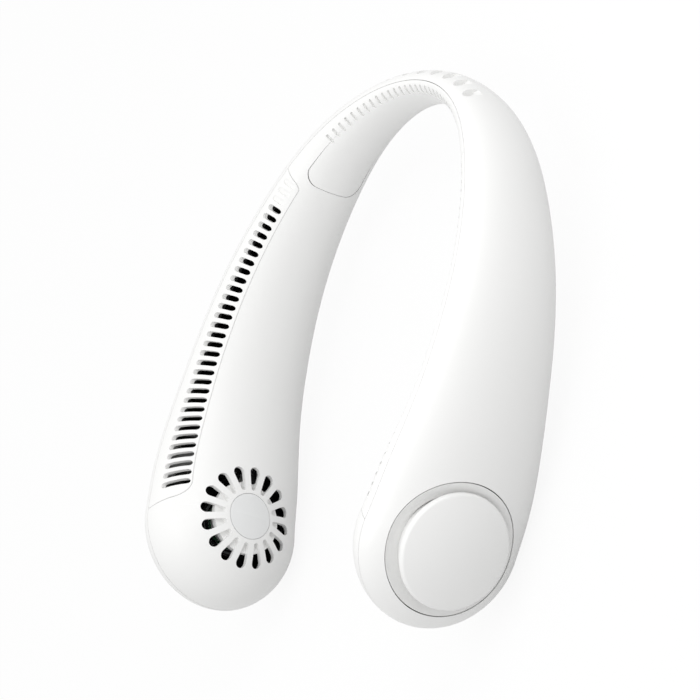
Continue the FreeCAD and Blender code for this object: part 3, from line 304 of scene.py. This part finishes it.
# Aluminium laminate pouch: soft silver with shallow wrinkles about 9 mm apart.
@made_once
def laminate_pouch():
    material, tree = new_material("Aluminium laminate, pressed pouch")
    place = add_node(tree, "ShaderNodeTexCoord").outputs["Object"]
    folds = add_node(tree, "ShaderNodeTexNoise", {"Vector": place, "Scale": 1 / (9 * MM), "Detail": 2.0})
    bump = add_node(tree, "ShaderNodeBump", {"Height": folds.outputs["Fac"], "Distance": 0.4 * MM})
    rough = add_node(tree, "ShaderNodeMapRange", {"Value": folds.outputs["Fac"], "To Min": 0.28,
                                                  "To Max": 0.45})
    shader = add_node(tree, "ShaderNodeBsdfPrincipled",
                      {"Base Color": finish().pouch, "Metallic": 1.0, "Roughness": rough.outputs["Result"],
                       "Normal": bump.outputs["Normal"]})
    add_node(tree, "ShaderNodeOutputMaterial", {"Surface": shader.outputs["BSDF"]})
    return material


# Closed-cell foam: dull black with pores of 0.8 mm.
@made_once
def closed_cell_foam():
    material, tree = new_material("Foam, closed cell")
    place = add_node(tree, "ShaderNodeTexCoord").outputs["Object"]
    pores = add_node(tree, "ShaderNodeTexVoronoi", {"Vector": place, "Scale": 1 / (0.8 * MM)})
    bump = add_node(tree, "ShaderNodeBump", {"Height": pores.outputs["Distance"], "Distance": 0.15 * MM})
    shader = add_node(tree, "ShaderNodeBsdfPrincipled",
                      {"Base Color": linear("202022"), "Roughness": 0.9, "Normal": bump.outputs["Normal"]})
    add_node(tree, "ShaderNodeOutputMaterial", {"Surface": shader.outputs["BSDF"]})
    return material


# Silicone sleeve, extruded: soft black with a faint mottle of 2 mm in its gloss.
@made_once
def silicone_sleeve():
    material, tree = new_material("Silicone sleeve, extruded")
    place = add_node(tree, "ShaderNodeTexCoord").outputs["Object"]
    mottle = add_node(tree, "ShaderNodeTexNoise", {"Vector": place, "Scale": 1 / (2 * MM), "Detail": 2.0})
    rough = add_node(tree, "ShaderNodeMapRange", {"Value": mottle.outputs["Fac"], "To Min": 0.4,
                                                  "To Max": 0.55})
    shader = add_node(tree, "ShaderNodeBsdfPrincipled",
                      {"Base Color": finish().sleeve, "Roughness": rough.outputs["Result"], "IOR": 1.41})
    add_node(tree, "ShaderNodeOutputMaterial", {"Surface": shader.outputs["BSDF"]})
    return material


# Polycarbonate, clear: a small light pipe with an end frosted in grains of 0.3 mm.
@made_once
def frosted_polycarbonate():
    material, tree = new_material("Polycarbonate, frosted clear")
    place = add_node(tree, "ShaderNodeTexCoord").outputs["Object"]
    frost = add_node(tree, "ShaderNodeTexNoise", {"Vector": place, "Scale": 1 / (0.3 * MM), "Detail": 2.0})
    rough = add_node(tree, "ShaderNodeMapRange", {"Value": frost.outputs["Fac"], "To Min": 0.25,
                                                  "To Max": 0.45})
    shader = add_node(tree, "ShaderNodeBsdfPrincipled",
                      {"Base Color": linear("e6ecec"), "Roughness": rough.outputs["Result"], "IOR": 1.58,
                       "Transmission Weight": 0.6})
    add_node(tree, "ShaderNodeOutputMaterial", {"Surface": shader.outputs["BSDF"]})
    return material


def dress(material, *names):
    """Gives CAD nodes their finish."""
    for name in names:
        slots = NODES[name].data.materials
        slots.clear()
        slots.append(material)


def pair(*stems):
    return ["%s_%s" % (stem, side) for stem in stems for side in SIDES]


def soften(width, *names):
    """Rounds the sharp edges of CAD nodes and evens their shading."""
    for name in names:
        node = NODES[name]
        node.modifiers.new("join faces", "WELD").merge_threshold = WELD_REACH
        edge = node.modifiers.new("rounded edges", "BEVEL")
        edge.width = width
        edge.segments = EDGE_STEPS
        edge.limit_method = "ANGLE"
        edge.angle_limit = SHARP_ANGLE
        node.modifiers.new("even shading", "WEIGHTED_NORMAL")


def oriented_box(name):
    """Centre, axes and sizes of a box-shaped CAD node, longest side first."""
    mesh = NODES[name].data
    axes = []
    for face in sorted(mesh.polygons, key=lambda face: -face.area):
        if all(abs(face.normal.dot(axis)) < 0.5 for axis in axes):
            axes.append(face.normal.copy())
    sides = []
    for axis in axes:
        reach = [axis.dot(vertex.co) for vertex in mesh.vertices]
        sides.append((max(reach) - min(reach), (max(reach) + min(reach)) / 2, axis))
    sides.sort(key=lambda side: -side[0])
    centre = Vector()
    for size, middle, axis in sides:
        centre += axis * middle
    return centre, [side[2] for side in sides], [side[0] for side in sides]


def soft_slab(name, node, sections, corner):
    """Closed skin through rounded sections that fills a CAD box and stands for it."""
    centre, axes, sizes = oriented_box(node)
    work = bmesh.new()
    rings = []
    for place, wide, thick in sections:
        middle = centre + axes[0] * (sizes[0] * place / 2)
        ring = []
        for step in range(RING_STEPS):
            angle = 2 * math.pi * step / RING_STEPS
            across = math.copysign(abs(math.cos(angle)) ** corner, math.cos(angle))
            up = math.copysign(abs(math.sin(angle)) ** corner, math.sin(angle))
            ring.append(work.verts.new(middle + axes[1] * (sizes[1] * wide * across / 2)
                                       + axes[2] * (sizes[2] * thick * up / 2)))
        rings.append(ring)
    for first, second in zip(rings, rings[1:]):
        for step in range(RING_STEPS):
            after = (step + 1) % RING_STEPS
            work.faces.new((first[step], first[after], second[after], second[step]))
    work.faces.new(rings[0][::-1])
    work.faces.new(rings[-1])
    bmesh.ops.recalc_face_normals(work, faces=work.faces)
    mesh = bpy.data.meshes.new(name)
    work.to_mesh(mesh)
    work.free()
    mesh.shade_smooth()
    piece = bpy.data.objects.new(name, mesh)
    bpy.context.scene.collection.objects.link(piece)
    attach(piece, "collar")
    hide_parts(node)
    return piece


class NECKFAN_OT_shells(bpy.types.Operator):
    """Finish the shells and the neck panel"""
    bl_idname = "neckfan.shells"
    bl_label = "Shells"

    def execute(self, context):
        dress(satin_white_abs(), "outer_shell", "inner_shell", "neck_panel")
        return {"FINISHED"}


class NECKFAN_OT_outlets(bpy.types.Operator):
    """Finish the outlet strips and the ducts under them"""
    bl_idname = "neckfan.outlets"
    bl_label = "Outlets"

    def execute(self, context):
        dress(satin_white_abs(), *pair("outlet_strip"))
        dress(matt_black_abs(), *pair("air_duct"))
        return {"FINISHED"}


class NECKFAN_OT_covers(bpy.types.Operator):
    """Finish the cover rings, caps and plates"""
    bl_idname = "neckfan.covers"
    bl_label = "Covers"

    def execute(self, context):
        dress(satin_white_abs(), *pair("cover_ring", "cover_cap"))
        soften(CAP_EDGE, *pair("cover_cap"))
        dress(matt_label_film(), *pair("rating_plate"))
        return {"FINISHED"}


class NECKFAN_OT_blowers(bpy.types.Operator):
    """Finish the blower wheels, scrolls and motors"""
    bl_idname = "neckfan.blowers"
    bl_label = "Blowers"

    def execute(self, context):
        dress(matt_black_abs(), *pair("impeller", "blower_scroll"))
        dress(solder_masked_board(), *pair("motor_board"))
        dress(zinc_plated_steel(), *pair("motor_screws", "stator_core", "rotor_can", "motor_shaft"))
        dress(turned_brass(), *pair("bearing_tube", "motor_bearings"))
        dress(enamelled_copper(), *pair("stator_coils"))
        soften(COIL_EDGE, *pair("stator_coils"))
        dress(bonded_ferrite(), *pair("rotor_magnet"))
        return {"FINISHED"}


class NECKFAN_OT_power(bpy.types.Operator):
    """Build the pouch cells and their pads, and finish the leads"""
    bl_idname = "neckfan.power"
    bl_label = "Batteries and leads"

    def execute(self, context):
        dress(silicone_sleeve(), "link_cable", *pair("motor_leads"))
        for side in SIDES:
            cell = soft_slab("pouch_cell_" + side, "battery_cell_" + side, POUCH_SECTIONS, POUCH_CORNER)
            cell.data.materials.append(laminate_pouch())
            pad = soft_slab("foam_pad_" + side, "battery_pad_" + side, PAD_SECTIONS, PAD_CORNER)
            pad.data.materials.append(closed_cell_foam())
        return {"FINISHED"}


class NECKFAN_OT_controls(bpy.types.Operator):
    """Finish the control board, button, socket, light and screws"""
    bl_idname = "neckfan.controls"
    bl_label = "Controls"

    def execute(self, context):
        dress(solder_masked_board(), "control_board")
        dress(zinc_plated_steel(), "usb_socket", "board_screws", "neck_screws")
        dress(satin_white_abs(), "power_button")
        dress(matt_black_abs(), "push_switch")
        soften(BUTTON_EDGE, "power_button", "push_switch")
        dress(frosted_polycarbonate(), "indicator_lens")
        return {"FINISHED"}


# Paper, uncoated: white to the eye, with the part's faint shadow. It returns less light to the
# part than it shows, so that the faces near it stay shaded.
def white_floor():
    material, tree = new_material("Paper, matt white")
    rays = add_node(tree, "ShaderNodeLightPath").outputs
    seen = add_node(tree, "ShaderNodeMath", {0: rays["Is Camera Ray"], 1: rays["Is Glossy Ray"]},
                    operation="MAXIMUM")
    seen = add_node(tree, "ShaderNodeMath", {0: seen.outputs[0], 1: rays["Is Transmission Ray"]},
                    operation="MAXIMUM")
    share = add_node(tree, "ShaderNodeMath", {0: seen.outputs[0], 1: 0.9}, operation="MULTIPLY")
    tone = add_node(tree, "ShaderNodeMix", {0: rays["Is Diffuse Ray"], 6: linear("f4f4f4"),
                                            7: linear("cacaca")}, data_type="RGBA")
    paper = add_node(tree, "ShaderNodeBsdfDiffuse", {"Color": tone.outputs[2]})
    white = add_node(tree, "ShaderNodeEmission", {"Color": linear("ffffff"), "Strength": 1.0})
    mixed = add_node(tree, "ShaderNodeMixShader", {0: share.outputs[0], 1: paper.outputs[0],
                                                   2: white.outputs[0]})
    add_node(tree, "ShaderNodeOutputMaterial", {"Surface": mixed.outputs[0]})
    return material


def add_floor(scene):
    reach = FLOOR_REACH
    mesh = bpy.data.meshes.new("floor")
    mesh.from_pydata([(-reach, -reach, 0), (reach, -reach, 0), (reach, reach, 0), (-reach, reach, 0)], [],
                     [(0, 1, 2, 3)])
    mesh.materials.append(white_floor())
    floor = bpy.data.objects.new("floor", mesh)
    floor.location.z = -FLOOR_DROP
    scene.collection.objects.link(floor)


def even_sky():
    """World that the camera sees as white and that lights the part evenly."""
    world = bpy.data.worlds.new("Even sky")
    world.use_nodes = True
    tree = world.node_tree
    tree.nodes.clear()
    rays = add_node(tree, "ShaderNodeLightPath").outputs
    white = add_node(tree, "ShaderNodeBackground", {"Color": linear("ffffff"), "Strength": 1.0})
    even = add_node(tree, "ShaderNodeBackground", {"Color": linear("ffffff"), "Strength": studio().sky})
    mixed = add_node(tree, "ShaderNodeMixShader", {0: rays["Is Camera Ray"], 1: even.outputs[0],
                                                   2: white.outputs[0]})
    add_node(tree, "ShaderNodeOutputWorld", {"Surface": mixed.outputs[0]})
    return world


def add_lamp(scene, name, energy, spot):
    lamp = bpy.data.lights.new(name, "AREA")
    lamp.size = LAMP_SIZE
    lamp.energy = energy
    light = bpy.data.objects.new(name, lamp)
    light.location = spot
    light.rotation_euler = (LIGHT_AIM - light.location).to_track_quat("-Z", "Y").to_euler()
    scene.collection.objects.link(light)


def add_camera(scene):
    view = bpy.data.cameras.new("camera")
    view.lens = studio().lens
    view.clip_end = FAR_CLIP
    camera = bpy.data.objects.new("camera", view)
    camera.location = studio().place
    camera.rotation_euler = Euler(studio().turn)
    scene.collection.objects.link(camera)
    scene.camera = camera


class NECKFAN_OT_studio(bpy.types.Operator):
    """Set up the floor, lights, sky and camera"""
    bl_idname = "neckfan.studio"
    bl_label = "Studio"

    def execute(self, context):
        scene = context.scene
        scene.view_settings.view_transform = "Standard"
        add_floor(scene)
        scene.world = even_sky()
        add_lamp(scene, "side light", studio().side, SIDE_LIGHT_PLACE)
        add_lamp(scene, "top light", studio().top, TOP_LIGHT_PLACE)
        add_camera(scene)
        return {"FINISHED"}


STEPS = (NECKFAN_OT_shells, NECKFAN_OT_outlets, NECKFAN_OT_covers, NECKFAN_OT_blowers, NECKFAN_OT_power,
         NECKFAN_OT_controls, NECKFAN_OT_studio)


class NECKFAN_PT_panel(bpy.types.Panel):
    """Sizes, colours and steps of the neck fan"""
    bl_label = "Neck fan"
    bl_idname = "NECKFAN_PT_panel"
    bl_space_type = "VIEW_3D"
    bl_region_type = "UI"
    bl_category = "Neck fan"

    def draw(self, context):
        for group in (finish(), studio()):
            for name in group.bl_rna.properties.keys():
                if name not in ("rna_type", "name"):
                    self.layout.prop(group, name)
        for step in STEPS:
            self.layout.operator(step.bl_idname)


CLASSES = (NeckFanFinish, NeckFanStudio) + STEPS + (NECKFAN_PT_panel,)


def register():
    for cls in CLASSES:
        bpy.utils.register_class(cls)
    bpy.types.Scene.neck_fan_finish = bpy.props.PointerProperty(type=NeckFanFinish)
    bpy.types.Scene.neck_fan_studio = bpy.props.PointerProperty(type=NeckFanStudio)


def unregister():
    del bpy.types.Scene.neck_fan_studio
    del bpy.types.Scene.neck_fan_finish
    for cls in reversed(CLASSES):
        bpy.utils.unregister_class(cls)


def main():
    register()
    for step in STEPS:
        group, name = step.bl_idname.split(".")
        getattr(getattr(bpy.ops, group), name)()


if __name__ == "__main__":
    main()
